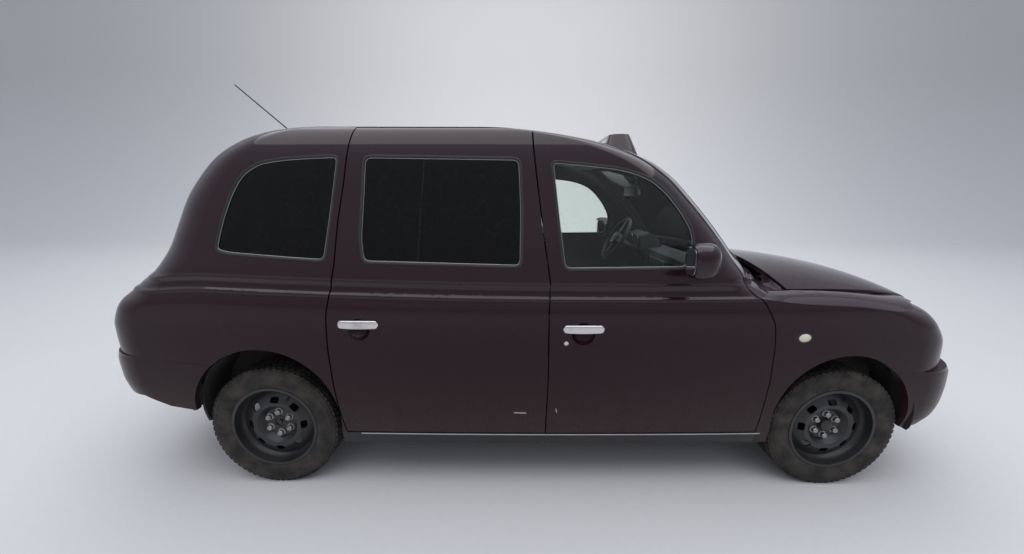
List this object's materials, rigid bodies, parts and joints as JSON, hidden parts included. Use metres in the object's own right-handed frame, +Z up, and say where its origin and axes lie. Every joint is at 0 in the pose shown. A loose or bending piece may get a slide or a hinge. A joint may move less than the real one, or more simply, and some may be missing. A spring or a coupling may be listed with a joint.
{
  "type": "taxi cab",
  "caption": "Upright four-door taxi cab with a tall rounded cabin, opening doors, bonnet and boot lid, steered front wheels and a partitioned rear cabin.",
  "frame": {"origin": "on the ground in the middle of the overall length and width", "axes": "+X forward, +Y to the car's left, +Z up"},
  "size_m": [4.5796, 2.036, 2.1769],
  "materials": {
    "paint": "dark aubergine gloss",
    "sill": "satin black with road dust",
    "chrome": "bright",
    "clear_glass": "clear, faint green",
    "dark_glass": "dark tint",
    "lamp": "clear lens",
    "tail_lamp": "red lens",
    "frame_steel": "black, dusty",
    "black_steel": "black",
    "engine_iron": "rough",
    "exhaust_steel": "dull, rusty",
    "underbody": "black sealant",
    "trim": "grained",
    "dash_plastic": "grained",
    "seat_cloth": "woven",
    "wheel_steel": "satin black",
    "tyre": "dusty"
  },
  "bodies": {
    "root": {"roof_panel": "paint", "rear_quarters": "paint", "rear_panel": "paint", "front_wings": "paint", "nose_panel": "paint", "grille": "chrome", "windscreen_frame": "paint", "sills": "sill", "floor_pan": "underbody", "bulkhead": "underbody", "door_posts": "trim", "windscreen": "clear_glass", "rear_glass": "dark_glass", "headlamps": "lamp", "tail_lamps": "tail_lamp", "front_bumper": "paint", "rear_bumper": "paint", "chassis_frame": "frame_steel", "engine": "engine_iron", "propeller_shaft": "frame_steel", "exhaust": "exhaust_steel", "fuel_tank": "frame_steel", "rear_axle": "frame_steel", "front_suspension": "frame_steel", "dashboard": "dash_plastic", "driver_seat": "seat_cloth", "passenger_seats": "seat_cloth", "partition": "trim", "roof_sign": "paint", "aerial": "black_steel"},
    "right_front_door": {"right_front_door": "paint", "right_front_door_glass": "clear_glass"},
    "right_rear_door": {"right_rear_door": "paint", "right_rear_door_glass": "dark_glass"},
    "left_front_door": {"left_front_door": "paint", "left_front_door_glass": "clear_glass"},
    "left_rear_door": {"left_rear_door": "paint", "left_rear_door_glass": "dark_glass"},
    "bonnet": {"bonnet": "paint"},
    "boot_lid": {"boot_lid": "paint"},
    "right_knuckle": {"right_knuckle": "engine_iron"},
    "left_knuckle": {"left_knuckle": "engine_iron"},
    "steering_wheel": {"steering_wheel": "dash_plastic"},
    "right_front_wheel": {"right_front_rim": "wheel_steel", "right_front_tyre": "tyre"},
    "right_rear_wheel": {"right_rear_rim": "wheel_steel", "right_rear_tyre": "tyre"},
    "left_front_wheel": {"left_front_rim": "wheel_steel", "left_front_tyre": "tyre"},
    "left_rear_wheel": {"left_rear_rim": "wheel_steel", "left_rear_tyre": "tyre"}
  },
  "joints": [
    {"name": "right_front_door_hinge", "type": "hinge", "parent": "root", "child": "right_front_door", "pos_m": [1.087, -0.886, 0.7], "axis": [0, 0, 1], "range_deg": [0, 65]},
    {"name": "right_rear_door_hinge", "type": "hinge", "parent": "root", "child": "right_rear_door", "pos_m": [0.003, -0.886, 0.7], "axis": [0, 0, 1], "range_deg": [0, 75]},
    {"name": "left_front_door_hinge", "type": "hinge", "parent": "root", "child": "left_front_door", "pos_m": [1.087, 0.886, 0.7], "axis": [0, 0, -1], "range_deg": [0, 65]},
    {"name": "left_rear_door_hinge", "type": "hinge", "parent": "root", "child": "left_rear_door", "pos_m": [0.003, 0.886, 0.7], "axis": [0, 0, -1], "range_deg": [0, 75]},
    {"name": "bonnet_hinge", "type": "hinge", "parent": "root", "child": "bonnet", "pos_m": [1.212, 0, 1.12], "axis": [0, -1, 0], "range_deg": [0, 55]},
    {"name": "boot_lid_hinge", "type": "hinge", "parent": "root", "child": "boot_lid", "pos_m": [-2.117, 0, 1.066], "axis": [0, 1, 0], "range_deg": [0, 75]},
    {"name": "left_steer", "type": "hinge", "parent": "root", "child": "left_knuckle", "pos_m": [1.512, 0.719, 0.325], "axis": [0, 0, 1], "range_deg": [-38, 38]},
    {"name": "right_steer", "type": "hinge", "parent": "root", "child": "right_knuckle", "pos_m": [1.512, -0.719, 0.325], "axis": [0, 0, 1], "range_deg": [-38, 38]},
    {"name": "steering_wheel_turn", "type": "hinge", "parent": "root", "child": "steering_wheel", "pos_m": [0.661, 0.38, 1.177], "axis": [-0.8572, 0, 0.515], "range_deg": [-570, 570]},
    {"name": "right_front_wheel_spin", "type": "hinge", "parent": "right_knuckle", "child": "right_front_wheel", "pos_m": [1.512, -0.744, 0.325], "axis": [0, 1, 0], "continuous": true},
    {"name": "right_rear_wheel_spin", "type": "hinge", "parent": "root", "child": "right_rear_wheel", "pos_m": [-1.374, -0.744, 0.325], "axis": [0, 1, 0], "continuous": true},
    {"name": "left_front_wheel_spin", "type": "hinge", "parent": "left_knuckle", "child": "left_front_wheel", "pos_m": [1.512, 0.744, 0.325], "axis": [0, 1, 0], "continuous": true},
    {"name": "left_rear_wheel_spin", "type": "hinge", "parent": "root", "child": "left_rear_wheel", "pos_m": [-1.374, 0.744, 0.325], "axis": [0, 1, 0], "continuous": true}
  ],
  "couplings": [
    {"joint": "right_steer", "follows": "left_steer", "ratio": 1},
    {"joint": "steering_wheel_turn", "follows": "left_steer", "ratio": 15}
  ]
}
